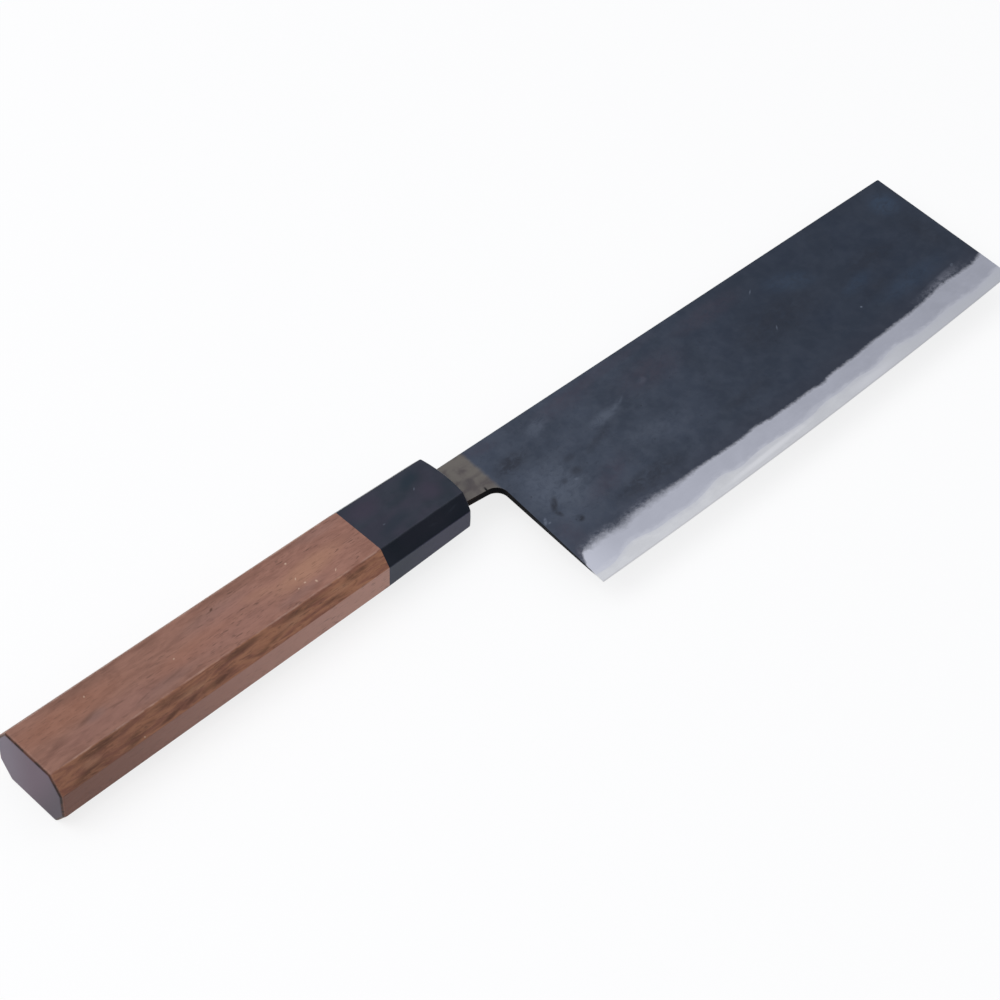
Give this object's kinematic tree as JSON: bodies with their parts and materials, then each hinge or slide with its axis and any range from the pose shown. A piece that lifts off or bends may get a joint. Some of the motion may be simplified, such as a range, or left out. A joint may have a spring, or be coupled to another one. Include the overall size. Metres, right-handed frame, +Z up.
{
  "type": "nakiri knife",
  "caption": "Vegetable knife with a straight-edged, square-ended blade of layered steel on a tapered octagonal wooden handle with a black ferrule.",
  "frame": {"origin": "on the surface under the knife, below the middle of its bounding box", "axes": "+X from the butt to the blade's tip, +Y from the cutting edge to the spine, +Z up through the thickness, out of the blade's right side"},
  "size_m": [0.3115, 0.063, 0.0184],
  "materials": {
    "core_steel": "bright carbon steel, ground on fine stones along the edge",
    "cladding_iron": "soft iron with blue-black forge scale, ground grey on the bevel and bare on the neck",
    "ferrule_black": "black, satin, sanded flush with the grip",
    "walnut": "walnut with a thin oil finish",
    "dowel_wood": "plain turned hardwood",
    "bedding_resin": "cured filler"
  },
  "bodies": {
    "root": {"core_steel": "core_steel", "right_cladding": "cladding_iron", "left_cladding": "cladding_iron", "ferrule": "ferrule_black", "handle_body": "walnut", "dowel": "dowel_wood", "tang_bedding": "bedding_resin"}
  },
  "joints": []
}
